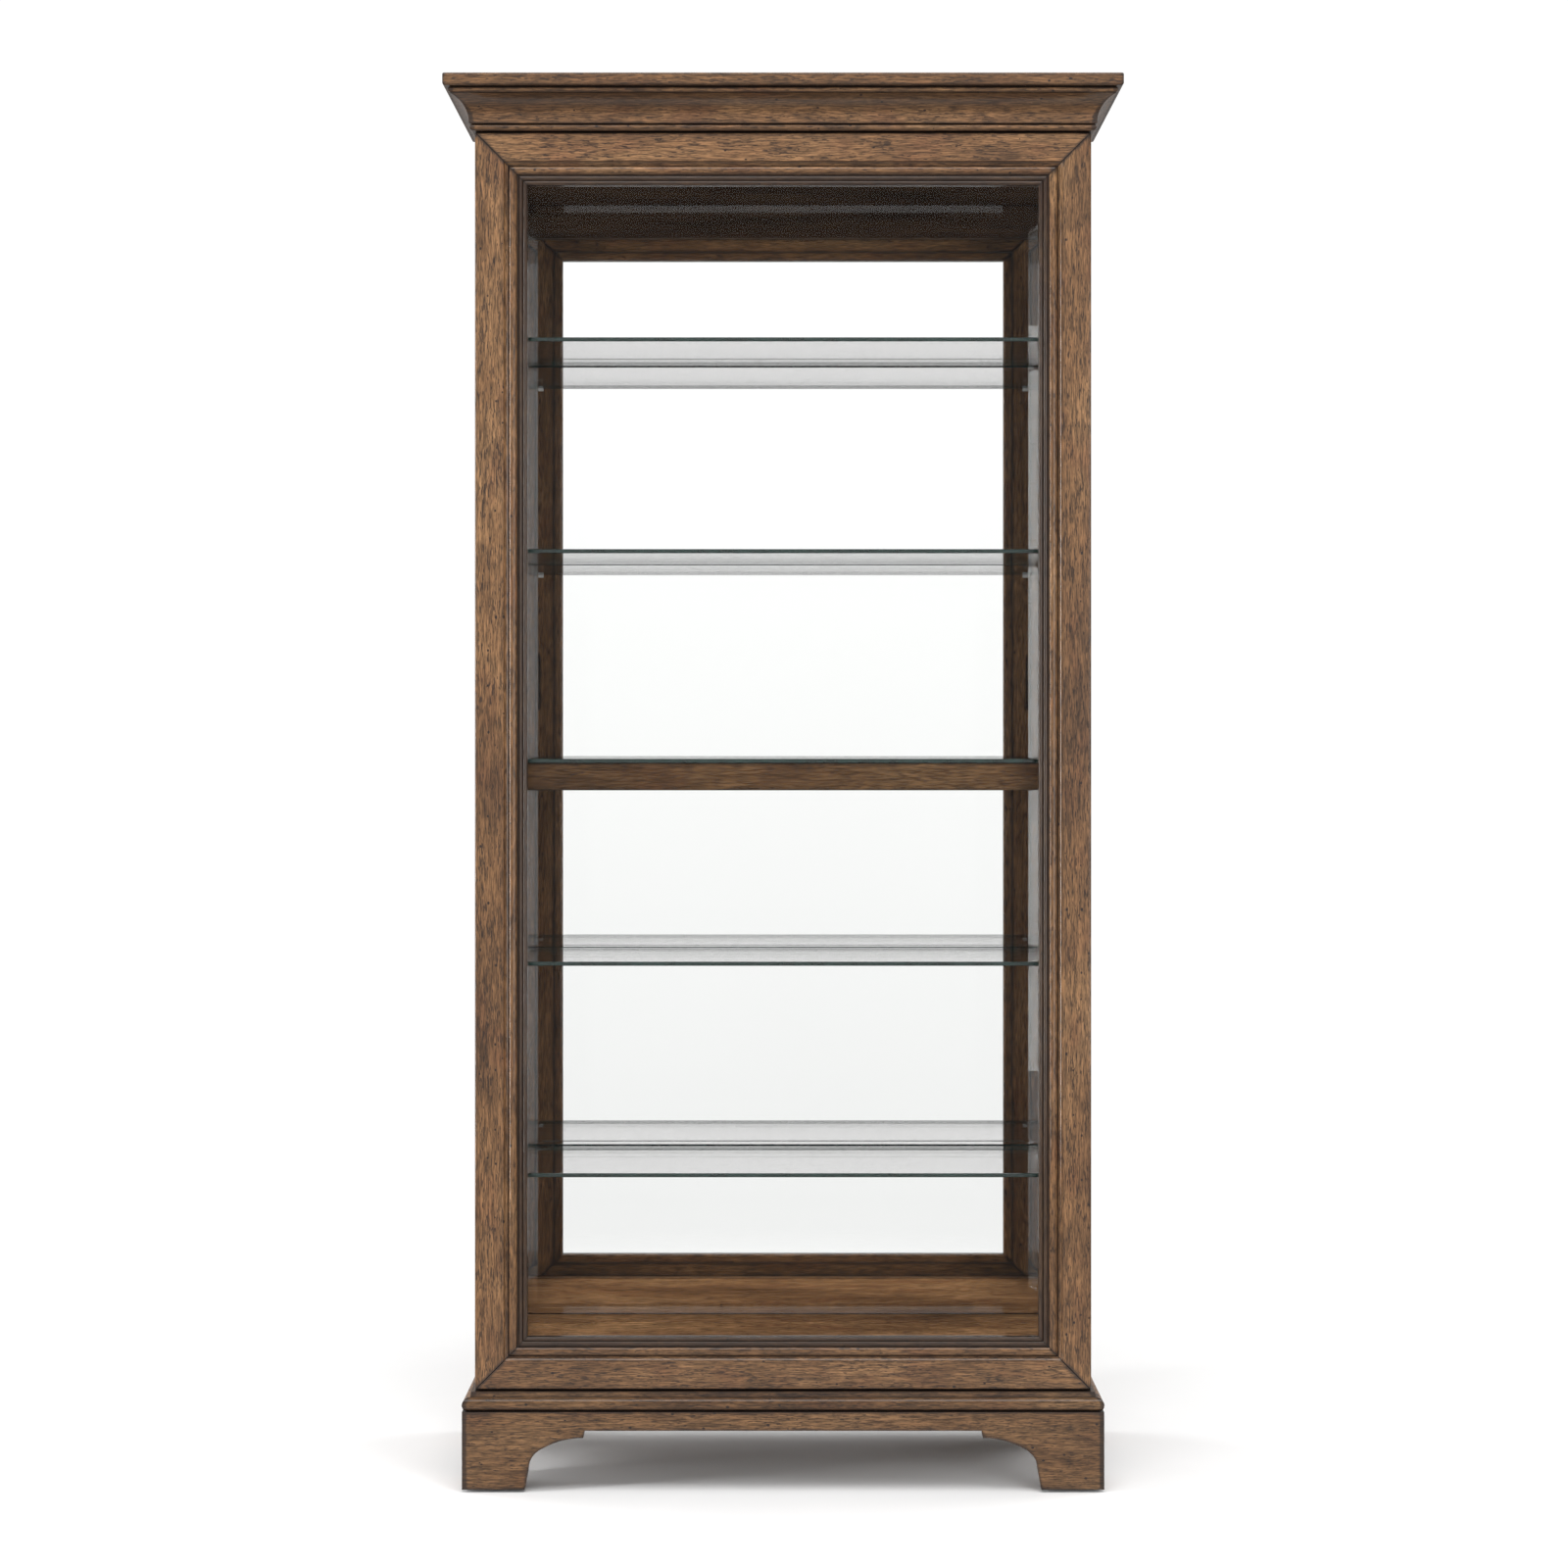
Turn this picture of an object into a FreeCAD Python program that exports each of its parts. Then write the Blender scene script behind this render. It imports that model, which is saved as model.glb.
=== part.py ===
"""Glazed curio cabinet: a framed mirror-backed case, glass shelves and one full-width sliding door.

Millimetres. +X is the viewer's right, -Y is the front, +Z is up. The origin is on the floor,
under the middle of the cabinet's box.
"""
import FreeCAD, Part
import math
import os
import re
import Sketcher

V = FreeCAD.Vector

# Driving dimensions. They fill the spreadsheet, and every sub-part is bound to them.
DIMS = {
    # the whole cabinet
    "total_wide": 972.0, "total_deep": 412.0, "total_tall": 2032.0,
    # crown: top board, and the moulding under it (upper bead, cove, lower bead)
    "top_thick": 18.0, "crown_over": 42.0, "crown_tall": 57.5,
    "crown_bead_out": 35.6, "crown_bead_root": 31.4, "crown_bead_tall": 8.5,
    "cove_top_out": 32.6, "cove_foot_out": 7.8, "cove_foot_up": 10.0, "cove_round": 38.0,
    "crown_foot_out": 3.3, "crown_foot_tall": 9.0,
    # a small bead's arc radius over its height, and the stock left past a mitre and the waste cut there
    "bead_fullness": 0.52, "mitre_stock": 45.0, "mitre_waste": 80.0,
    # base: cap moulding and bracket-foot boards
    "cap_low": 115.5, "cap_past_board": 2.6, "cap_wide": 70.0, "cap_nose_out": 7.2,
    "cap_nose_tall": 19.3, "cap_nose_round": 9.8, "cap_fillet_out": 5.5, "cap_heel_out": 9.6,
    "plinth_out": 16.7, "board_thick": 20.0, "board_low": 4.0, "apron_low": 88.5,
    "foot_wide": 90.0, "foot_taper": 5.0, "foot_sweep": 79.0, "foot_rise": 47.0,
    "cusp_step": 10.0, "cusp_slant": 2.0, "foot_small_round": 34.9,
    "base_back_low": 62.0, "block_side": 46.0, "block_low": 22.0,
    # levelling feet
    "foot_disc": 13.0, "foot_disc_tall": 7.0, "foot_stem": 8.0, "foot_stem_top": 58.0,
    "foot_inset": 43.0, "socket_side": 13.0, "socket_tall": 20.0, "socket_bore": 8.16,
    # case frame
    "case_low": 142.0, "floor_high": 185.0, "ceiling_low": 1912.0,
    "post_wide": 32.0, "front_post_deep": 45.0, "rear_post_deep": 48.0,
    "front_rail_thick": 20.0, "side_rail_tall": 60.0, "side_top_low": 1896.0,
    "deck_thick": 24.0, "deck_tongue": 6.0, "ease": 1.5,
    "glazing_rabbet": 10.0, "side_lip": 12.0, "pane_thick": 4.0, "pane_gap": 0.5,
    # mirror and back
    "back_recess": 6.5, "back_thick": 5.0, "silver_thick": 0.5, "mirror_thick": 5.0,
    "mirror_half": 407.5, "mirror_low": 170.0, "mirror_high": 1927.0, "mirror_gap": 0.3,
    "bevel_wide": 25.4, "bevel_drop": 2.2, "back_lap": 20.0,
    # shelves
    "shelf_wide": 808.0, "shelf_deep": 290.0, "shelf_thick": 6.0, "shelf_front": 99.0,
    "shelf_edge": 0.8, "groove_round": 6.0, "groove_deep": 1.4, "groove_back": 40.0,
    "groove_short": 24.0, "deck_groove_back": 70.0,
    "level_one": 1661.0, "level_two": 1352.0, "level_three": 1046.0,
    "level_four": 750.0, "level_five": 441.5,
    "centre_rail_tall": 40.0, "centre_rail_thick": 18.0, "centre_rail_back": 2.0,
    "cleat_wide": 14.0, "cleat_tall": 30.0,
    "pin_hole": 5.2, "pin_peg": 5.0, "pin_deep": 9.0, "pin_neck": 1.5,
    "pin_tongue_long": 14.5, "pin_tongue_wide": 9.0, "pin_tongue_tall": 4.0,
    "pin_front": 104.0, "pin_rear": 382.0, "hole_step": 32.0,
    # sliding door
    "door_low": 143.5, "door_high": 1955.0, "door_thick": 22.0,
    "member_wide": 61.0, "member_face": 41.5, "member_cove": 47.5, "member_edge": 3.0,
    "member_sag": 0.7, "member_pillow": 500.0, "cove_deep": 4.6, "member_cove_round": 9.0,
    "bead_peak_round": 7.0, "bead_foot": 6.0, "mitre_line": 0.7, "mitre_line_deep": 7.4, "mitre_reach": 90.0,
    "stop_wide": 14.5, "stop_quirk": 1.0, "stop_step": 8.0, "stop_foot": 6.4, "stop_round": 3.6,
    "stop_inner_foot": 7.0, "stop_inner_round": 3.4, "stop_back_round": 4.0,
    "door_pane_front": 8.0, "stop_back": 1.5,
    "slot_out": 35.0, "slot_wide": 4.0, "slot_low": 1129.0, "slot_high": 1222.0, "slot_deep": 9.0,
    # telescopic slides, measured from the case's front plane towards the door
    "slide_gap": 13.0, "slide_half": 430.0, "runner_half": 260.0, "slide_half_tall": 17.5,
    "steel": 1.2, "slide_lip": 9.5, "runner_back": 2.2, "runner_lip": 10.5,
    "runner_half_tall": 11.5, "tongue_half_tall": 5.5, "tongue_back": 4.6,
    "door_plate_half": 15.0, "upper_slide": 1933.5, "lower_slide": 164.5,
    "ball": 4.2, "outer_ball_up": 13.9, "inner_ball_up": 7.9, "outer_ball_out": 6.0,
    "inner_ball_out": 7.6, "ball_step": 30.0,
    # fasteners
    "screw_shank": 3.5, "screw_head": 7.0, "screw_head_tall": 0.7, "screw_long": 16.0,
}

# Places worked out from the driving dimensions.
PLACES = {
    "front": "-total_deep / 2",
    "back": "total_deep / 2",
    "case_half": "total_wide / 2 - crown_over",
    "door_face": "front + crown_over",
    "door_back": "door_face + door_thick",
    "case_face": "door_back + slide_gap",
    "post_inner": "case_half - post_wide",
    "case_high": "total_tall - top_thick",
    "crown_low": "case_high - crown_tall",
    "plinth_front": "door_face - plinth_out",
    "plinth_half": "case_half + plinth_out",
    "panel_front": "back - back_recess - back_thick",
    "silver_front": "panel_front - silver_thick",
    "mirror_front": "silver_front - mirror_thick",
    "front_post_back": "case_face + front_post_deep",
    "rear_post_front": "back - rear_post_deep",
    "shelf_face": "front + shelf_front",
    "pane_outer": "case_half - side_lip",
    "pane_inner": "pane_outer - pane_thick",
    "side_low": "case_low + side_rail_tall",
    "cusp_low": "apron_low - cusp_step",
    "leveler_x": "plinth_half - foot_inset",
    "leveler_front": "plinth_front + foot_inset",
    "leveler_rear": "back - foot_inset",
    "sight": "case_half - member_wide",
}

doc = FreeCAD.newDocument("CurioCabinet")
sheet = doc.addObject("Spreadsheet::Sheet", "Dims")
for row, (word, size) in enumerate(DIMS.items(), start=1):
    sheet.set(f"A{row}", word)
    sheet.set(f"B{row}", str(size))
    sheet.setAlias(f"B{row}", word)
doc.recompute()
pieces = []


def formula(text):
    """The expression for a formula in this file's words: a place becomes its own formula."""
    def swap(match):
        word = match.group(0)
        if word in PLACES:
            return "(" + formula(PLACES[word]) + ")"
        return "Dims." + word if word in DIMS else word
    return re.sub(r"[a-z_]+", swap, str(text))


def number(text):
    return float(sheet.evalExpression(formula(text)))


# ---- drawing helpers -------------------------------------------------------------------------

# Extrusion axis: the origin plane's role, and whether its normal runs along (+1) or against the axis.
PLANES = {"X": ("YZ_Plane", 1), "Y": ("XZ_Plane", -1), "Z": ("XY_Plane", 1)}


def new_body(label):
    body = doc.addObject("PartDesign::Body", "Body_" + label)
    body.Label = label
    body.AllowCompound = True
    pieces.append(body)
    return body


def pin_point(sketch, geometry, end, x, y):
    """Fixes one end of a line or arc at the formulas x, y."""
    for kind, text in (("DistanceX", x), ("DistanceY", y)):
        index = sketch.addConstraint(Sketcher.Constraint(kind, geometry, end, number(text)))
        sketch.setExpression(f"Constraints[{index}]", formula(text))


def arc_between(start, end, radius):
    """The minor arc from start to end, turning left for a positive radius and right for a negative one."""
    chord = end - start
    rise = math.sqrt(max(radius * radius - chord.Length ** 2 / 4, 0.0))
    left = V(-chord.y, chord.x, 0).normalize()
    centre = start + chord / 2 + left * (rise if radius > 0 else -rise)
    first, last = (start, end) if radius > 0 else (end, start)
    angles = [math.atan2(p.y - centre.y, p.x - centre.x) for p in (first, last)]
    return Part.ArcOfCircle(Part.Circle(centre, V(0, 0, 1), abs(radius)), *angles)


def draw_outline(sketch, points, flip):
    """A closed outline. A point is (x, y), or (x, y, radius) where an arc reaches it."""
    spots = [V(-number(p[0]) if flip else number(p[0]), number(p[1]), 0) for p in points]
    edges = []
    for i, point in enumerate(points):
        if len(point) == 3:
            radius = number(point[2]) * (-1 if flip else 1)
            index = sketch.addGeometry(arc_between(spots[i - 1], spots[i], radius))
            mark = sketch.addConstraint(Sketcher.Constraint("Radius", index, abs(radius)))
            sketch.setExpression(f"Constraints[{mark}]", formula(f"abs({point[2]})"))
            edges.append((index, 1, 2) if radius > 0 else (index, 2, 1))
        else:
            edges.append((sketch.addGeometry(Part.LineSegment(spots[i - 1], spots[i])), 1, 2))
    for (index, _, end), (after, start, _) in zip(edges, edges[1:] + edges[:1]):
        sketch.addConstraint(Sketcher.Constraint("Coincident", index, end, after, start))
    for (index, _, end), point in zip(edges, points):
        pin_point(sketch, index, end, f"-({point[0]})" if flip else point[0], point[1])


def draw_circle(sketch, x, y, diameter, flip):
    x = f"-({x})" if flip else x
    centre = V(number(x), number(y), 0)
    index = sketch.addGeometry(Part.Circle(centre, V(0, 0, 1), number(diameter) / 2))
    mark = sketch.addConstraint(Sketcher.Constraint("Diameter", index, number(diameter)))
    sketch.setExpression(f"Constraints[{mark}]", formula(diameter))
    pin_point(sketch, index, 3, x, y)


def prism(body, axis, start, end, outlines=(), circles=(), cut=False, side=1):
    """Adds or cuts a straight prism from start to end along an axis. Outlines along X are in (Y, Z), along Y
    in (X, Z) and along Z in (X, Y). A side of -1 mirrors it to the cabinet's left."""
    role, sign = PLANES[axis]
    flip = side < 0 and axis != "X"
    if side < 0 and axis == "X":
        start, end = f"-({end})", f"-({start})"
    before = body.Shape.Volume if body.Tip else 0.0
    stem = f"{body.Name}_{len(body.Group)}"
    sketch = body.newObject("Sketcher::SketchObject", stem + "_sketch")
    plane = next(f for f in body.Origin.OriginFeatures if f.Role == role)
    sketch.AttachmentSupport = [(plane, "")]
    sketch.MapMode = "FlatFace"
    sketch.setExpression("AttachmentOffset.Base.z", formula(f"{sign} * ({start})"))
    for points in outlines:
        draw_outline(sketch, points, flip)
    for x, y, diameter in circles:
        draw_circle(sketch, x, y, diameter, flip)
    kind = "PartDesign::Pocket" if cut else "PartDesign::Pad"
    feature = body.newObject(kind, stem)
    feature.Profile = sketch
    feature.Reversed = (sign < 0) != cut
    feature.setExpression("Length", formula(f"({end}) - ({start})"))
    doc.recompute()
    gained = body.Shape.Volume - before
    if (gained > -1e-3) if cut else (gained < 1e-3):
        raise RuntimeError(f"{stem} changed the volume by {gained:.4f}")
    return feature


def rectangle(x_low, x_high, y_low, y_high):
    return [(x_low, y_low), (x_high, y_low), (x_high, y_high), (x_low, y_high)]


def ease(body, wanted, size="ease"):
    """Rounds the edges for which wanted(midpoint, direction) is true."""
    base = body.Tip
    names = []
    for i, edge in enumerate(base.Shape.Edges, start=1):
        if edge.Curve.TypeId != "Part::GeomLine":
            continue
        middle = edge.valueAt((edge.FirstParameter + edge.LastParameter) / 2)
        along = edge.tangentAt(edge.FirstParameter)
        if wanted(middle, V(abs(along.x), abs(along.y), abs(along.z))):
            names.append(f"Edge{i}")
    fillet = body.newObject("PartDesign::Fillet", body.Name + "_ease")
    fillet.Base = (base, names)
    fillet.setExpression("Radius", formula(size))
    doc.recompute()
    return fillet


def near(value, text):
    return abs(value - number(text)) < 0.05


# ---- base --------------------------------------------------------------------------------------

def foot_outline(low, high):
    """A bracket-foot board seen square on, from low to high along its length. Each foot ends in a short
    taper, a quarter oval and a cusp, under the straight apron."""
    steps = [("foot_wide", "board_low"), ("foot_wide + foot_taper", "cusp_low - foot_rise")]
    rise = [(f"{low} + {across}", z) for across, z in steps]
    fall = [(f"{high} - ({across})", z) for across, z in reversed(steps)]
    reach = "(foot_wide + foot_taper + foot_sweep)"
    near_cusp = (f"{low} + {reach}", "cusp_low")
    far_cusp = (f"{high} - {reach}", "cusp_low")
    return (
        [(low, "board_low")] + rise + oval_points(rise[-1], near_cusp, True)
        + [(f"{low} + {reach} + cusp_slant", "apron_low"), (f"{high} - {reach} - cusp_slant", "apron_low")]
        + [far_cusp] + oval_points(far_cusp, fall[0], False)
        + [fall[1], (high, "board_low"), (high, "cap_low"), (low, "cap_low")]
    )


def oval_points(start, end, rising):
    """The joint and end of a quarter oval of foot_sweep by foot_rise, as arcs of a small and a large circle.
    With semi-axes a and b, the small radius fixes the large one: the circles touch on one line."""
    wide, tall, small = "foot_sweep", "foot_rise", "foot_small_round"
    large = f"(({wide} - {small}) ^ 2 + {tall} ^ 2 - {small} ^ 2) / (2 * ({tall} - {small}))"
    span = f"(({large}) - {small})"
    joint_in = f"({wide} - {small}) + {small} * ({wide} - {small}) / {span}"
    joint_up = f"{small} * (({large}) - {tall}) / {span}"
    if rising:
        joint = (f"({start[0]}) + foot_sweep - ({joint_in})", f"({start[1]}) + {joint_up}")
        return [joint + (f"-{small}",), (end[0], end[1], f"-({large})")]
    joint = (f"({end[0]}) - foot_sweep + ({joint_in})", f"({end[1]}) + {joint_up}")
    return [joint + (f"-({large})",), (end[0], end[1], f"-{small}")]


def base_front():
    body = new_body("base_front")
    outline = foot_outline("-plinth_half", "plinth_half")
    prism(body, "Y", "plinth_front", "plinth_front + board_thick", [outline])
    for side in (1, -1):
        mitre = [("plinth_half - board_thick", "plinth_front + board_thick"),
                 ("plinth_half", "plinth_front"),
                 ("plinth_half + 1", "plinth_front"),
                 ("plinth_half + 1", "plinth_front + board_thick + 1"),
                 ("plinth_half - board_thick", "plinth_front + board_thick + 1")]
        prism(body, "Z", "board_low", "cap_low", [mitre], cut=True, side=side)
    ease(body, lambda p, d: d.x > 0.9 and near(p.y, "plinth_front") and p.z < number("cap_low - 1"))


def base_side(label, side):
    body = new_body(label)
    outline = foot_outline("plinth_front", "back")
    prism(body, "X", "plinth_half - board_thick", "plinth_half", [outline], side=side)
    mitre = [("plinth_half - board_thick - 1", "plinth_front - 1"),
             ("plinth_half", "plinth_front - 1"),
             ("plinth_half", "plinth_front"),
             ("plinth_half - board_thick", "plinth_front + board_thick"),
             ("plinth_half - board_thick - 1", "plinth_front + board_thick")]
    prism(body, "Z", "board_low", "cap_low", [mitre], cut=True, side=side)


def base_back():
    body = new_body("base_back")
    half = "plinth_half - board_thick"
    box = rectangle(f"-({half})", half, "base_back_low", "cap_low")
    prism(body, "Y", "back - board_thick", "back", [box])
    ease(body, lambda p, d: d.x > 0.9 and near(p.z, "base_back_low"))


def base_corner_blocks():
    """Four glue blocks inside the corners, each bored from below for its levelling foot's bush."""
    body = new_body("base_corner_blocks")
    outer = "plinth_half - board_thick"
    y_front = "plinth_front + board_thick"
    y_rear = "back - board_thick"
    ends = [(y_front, f"{y_front} + block_side", "leveler_front"),
            (f"{y_rear} - block_side", y_rear, "leveler_rear")]
    places = [(side, end) for side in (1, -1) for end in ends]
    for side, (low, high, _) in places:
        box = rectangle(f"{outer} - block_side", outer, low, high)
        prism(body, "Z", "block_low", "cap_low", [box], side=side)
    for side, (_, _, y) in places:
        prism(body, "Z", "block_low - 1", "foot_stem_top + 2", circles=[("leveler_x", y, "foot_stem + 1")],
              cut=True, side=side)
        prism(body, "Z", "block_low - 1", "block_low + socket_tall",
              circles=[("leveler_x", y, "socket_side")], cut=True, side=side)


def leveler_sockets():
    """Threaded bushes pressed into the blocks; the bore stands for the thread's clearance diameter."""
    body = new_body("leveler_sockets")
    for side in (1, -1):
        for y in ("leveler_front", "leveler_rear"):
            rings = [("leveler_x", y, "socket_side"), ("leveler_x", y, "socket_bore")]
            prism(body, "Z", "block_low", "block_low + socket_tall", circles=rings, side=side)


def leveler(label, side, y):
    """A moulded disc on a threaded stem, screwed up into its bush."""
    body = new_body(label)
    sketch = body.newObject("Sketcher::SketchObject", body.Name + "_sketch")
    plane = next(f for f in body.Origin.OriginFeatures if f.Role == "XZ_Plane")
    sketch.AttachmentSupport = [(plane, "")]
    sketch.MapMode = "FlatFace"
    draw_outline(sketch, [
        ("0", "0"), ("foot_disc / 2 - 2", "0"), ("foot_disc / 2", "2", "2.01"),
        ("foot_disc / 2", "foot_disc_tall"), ("foot_stem / 2 + 1.5", "foot_disc_tall"),
        ("foot_stem / 2 + 1.5", "foot_disc_tall + 2.5"), ("foot_stem / 2", "foot_disc_tall + 2.5"),
        ("foot_stem / 2", "foot_stem_top - 1"), ("foot_stem / 2 - 1", "foot_stem_top"),
        ("0", "foot_stem_top"),
    ], False)
    turn = body.newObject("PartDesign::Revolution", body.Name + "_turn")
    turn.Profile = sketch
    turn.ReferenceAxis = (sketch, ["V_Axis"])
    turn.Angle = 360.0
    body.setExpression("Placement.Base.x", formula(f"{side} * leveler_x"))
    body.setExpression("Placement.Base.y", formula(y))
    doc.recompute()


def cap_profile(face, out):
    """The cap's section: face is where the offset is zero, and out is the direction that it grows in."""
    def at(offset, z, *radius):
        return (f"{face} {out} ({offset})", z) + radius
    bulge = "-" if out == "-" else ""
    inner = "plinth_out + cap_past_board - cap_wide"
    return [
        at(inner, "cap_low"),
        at("cap_heel_out", "cap_low"),
        at("cap_nose_out", "cap_low + cap_nose_tall", f"{bulge}cap_nose_round"),
        at("cap_fillet_out", "cap_low + cap_nose_tall"),
        at("cap_fillet_out - 1", "case_low"),
        at(inner, "case_low"),
    ]


def mitre_corner(reach):
    """Plan of the waste in front of the 45 degree line through the case's front corner."""
    return [(f"case_half - {reach}", f"door_face + {reach}"),
            (f"case_half + {reach}", f"door_face - {reach}")]


def base_cap_front():
    body = new_body("base_cap_front")
    prism(body, "X", "-case_half - mitre_stock", "case_half + mitre_stock", [cap_profile("door_face", "-")])
    for side in (1, -1):
        waste = mitre_corner("mitre_waste") + [("case_half + mitre_waste", "door_face + mitre_waste")]
        prism(body, "Z", "cap_low - 1", "case_low + 1", [waste], cut=True, side=side)


def base_cap_side(label, side):
    body = new_body(label)
    outline = cap_profile("case_half", "+")
    prism(body, "Y", "door_face - mitre_stock", "back", [outline], side=side)
    waste = mitre_corner("mitre_waste") + [("case_half - mitre_waste", "door_face - mitre_waste")]
    prism(body, "Z", "cap_low - 1", "case_low + 1", [waste], cut=True, side=side)


# ---- case --------------------------------------------------------------------------------------

LEVELS = ("level_one", "level_two", "level_four", "level_five")


def pin_z(level, step=0):
    return f"{level} - pin_tongue_tall / 2 + ({step}) * hole_step"


def post(label, side, rear):
    body = new_body(label)
    low, high = ("rear_post_front", "back") if rear else ("case_face", "front_post_back")
    prism(body, "Z", "case_low", "case_high", [rectangle("post_inner", "case_half", low, high)], side=side)
    if rear:
        ease(body, lambda p, d: d.z > 0.9 and near(abs(p.x), "case_half"))
        seat = rectangle("post_inner - 1", "post_inner + back_lap", "panel_front", "back + 1")
        prism(body, "Z", "case_low - 1", "case_high + 1", [seat], cut=True, side=side)
        glazing = ("rear_post_front - 1", "rear_post_front + glazing_rabbet")
    else:
        ease(body, lambda p, d: d.z > 0.9 and near(abs(p.x), "case_half"))
        glazing = ("front_post_back - glazing_rabbet", "front_post_back + 1")
    seat = rectangle("post_inner - 1", "pane_outer", *glazing)
    span = ("side_low - glazing_rabbet", "side_top_low + glazing_rabbet")
    prism(body, "Z", *span, [seat], cut=True, side=side)
    y = "front + pin_rear" if rear else "front + pin_front"
    holes = [(y, pin_z(level, step), "pin_hole") for level in LEVELS for step in (-1, 0, 1)]
    prism(body, "X", "post_inner", "post_inner + pin_deep", circles=holes, cut=True, side=side)


def front_rail(label, low, high):
    body = new_body(label)
    box = rectangle("case_face", "case_face + front_rail_thick", low, high)
    prism(body, "X", "-post_inner", "post_inner", [box])


def side_rail(label, side, low, high, sight, groove):
    """A rail between the posts, rabbeted inside for the pane and grooved for the deck's tongue."""
    body = new_body(label)
    prism(body, "Y", "front_post_back", "rear_post_front", [rectangle("post_inner", "case_half", low, high)],
          side=side)
    ease(body, lambda p, d: d.y > 0.9 and near(abs(p.x), "case_half") and near(p.z, sight))
    prism(body, "Y", "front_post_back", "rear_post_front",
          [rectangle("post_inner - 1", "pane_outer", *rabbet_span(sight))], cut=True, side=side)
    prism(body, "Y", "front_post_back", "rear_post_front",
          [rectangle("post_inner - 1", "post_inner + deck_tongue", *groove)], cut=True, side=side)


def rabbet_span(sight):
    if sight == "side_low":
        return "side_low - glazing_rabbet", "side_low + 1"
    return "side_top_low - 1", "side_top_low + glazing_rabbet"


def deck(label, low, high, seat, plate_groove):
    """The cabinet's floor or ceiling, with tongues in the side rails and a seat behind for the mirror."""
    body = new_body(label)
    inner, tongue = "post_inner", "post_inner + deck_tongue"
    front_end = "case_face + front_rail_thick"
    right = [(inner, front_end), (inner, "front_post_back"), (tongue, "front_post_back"),
             (tongue, "rear_post_front"), (inner, "rear_post_front"), (inner, "panel_front")]
    left = [(f"-({x})", y) for x, y in reversed(right)]
    prism(body, "Z", low, high, [right + left])
    prism(body, "X", f"-({tongue})", tongue,
          [rectangle("mirror_front - mirror_gap", "panel_front + 1", *seat)], cut=True)
    if plate_groove:
        cut_groove(body, "mirror_front - deck_groove_back", high, "post_inner - groove_short")


def cut_groove(body, y, top, half):
    """A shallow round-bottomed plate groove along X."""
    reach = "sqrt(groove_round ^ 2 - (groove_round - groove_deep) ^ 2)"
    section = [(f"({y}) - {reach}", top), (f"({y}) + {reach}", top, "groove_round")]
    prism(body, "X", f"-({half})", half, [section], cut=True)


def side_glass(label, side):
    body = new_body(label)
    outline = rectangle("front_post_back - glazing_rabbet + pane_gap",
                        "rear_post_front + glazing_rabbet - pane_gap",
                        "side_low - glazing_rabbet", "side_top_low + glazing_rabbet - pane_gap")
    prism(body, "X", "pane_inner", "pane_outer", [outline], side=side)


def side_glass_stops():
    """Square stops inside each pane: two uprights and two lengths between them."""
    body = new_body("side_glass_stops")
    y_low, y_high = "front_post_back - glazing_rabbet", "rear_post_front + glazing_rabbet"
    z_low, z_high = "side_low - glazing_rabbet", "side_top_low + glazing_rabbet"
    y_in, y_out = f"{y_low} + glazing_rabbet", f"{y_high} - glazing_rabbet"
    strips = [(y_low, y_in, z_low, z_high),
              (y_out, y_high, z_low, z_high),
              (y_in, y_out, z_low, f"{z_low} + glazing_rabbet"),
              (y_in, y_out, f"{z_high} - glazing_rabbet", z_high)]
    for side in (1, -1):
        for strip in strips:
            prism(body, "X", "pane_inner - glazing_rabbet", "pane_inner", [rectangle(*strip)], side=side)


# ---- mirror and back ---------------------------------------------------------------------------

def mirror():
    """The mirror plate, bevelled on all four front edges, and the silvering on its back."""
    body = new_body("mirror_glass")
    plate = rectangle("-mirror_half", "mirror_half", "mirror_low", "mirror_high")
    prism(body, "Y", "mirror_front", "silver_front", [plate])
    slab = body.Tip
    faces = slab.Shape.Faces
    front_face = 1 + max(range(len(faces)), key=lambda i: -faces[i].CenterOfMass.y)
    bevel = body.newObject("PartDesign::Chamfer", "MirrorBevel")
    bevel.Base = (slab, [f"Face{front_face}"])
    bevel.ChamferType = "Two distances"
    bevel.setExpression("Size", formula("bevel_drop"))
    bevel.setExpression("Size2", formula("bevel_wide"))
    doc.recompute()
    flat = [f for f in body.Shape.Faces if near(f.CenterOfMass.y, "mirror_front")]
    if flat[0].BoundBox.XLength > 2 * number("mirror_half") - 1.5 * number("bevel_wide"):
        bevel.FlipDirection = True
        doc.recompute()
    coat = new_body("mirror_silvering")
    prism(coat, "Y", "silver_front", "panel_front", [plate])


def back_panel():
    body = new_body("back_panel")
    half = "post_inner + back_lap - pane_gap"
    prism(body, "Y", "panel_front", "panel_front + back_thick",
          [rectangle(f"-({half})", half, "case_low", "case_high")])


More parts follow.
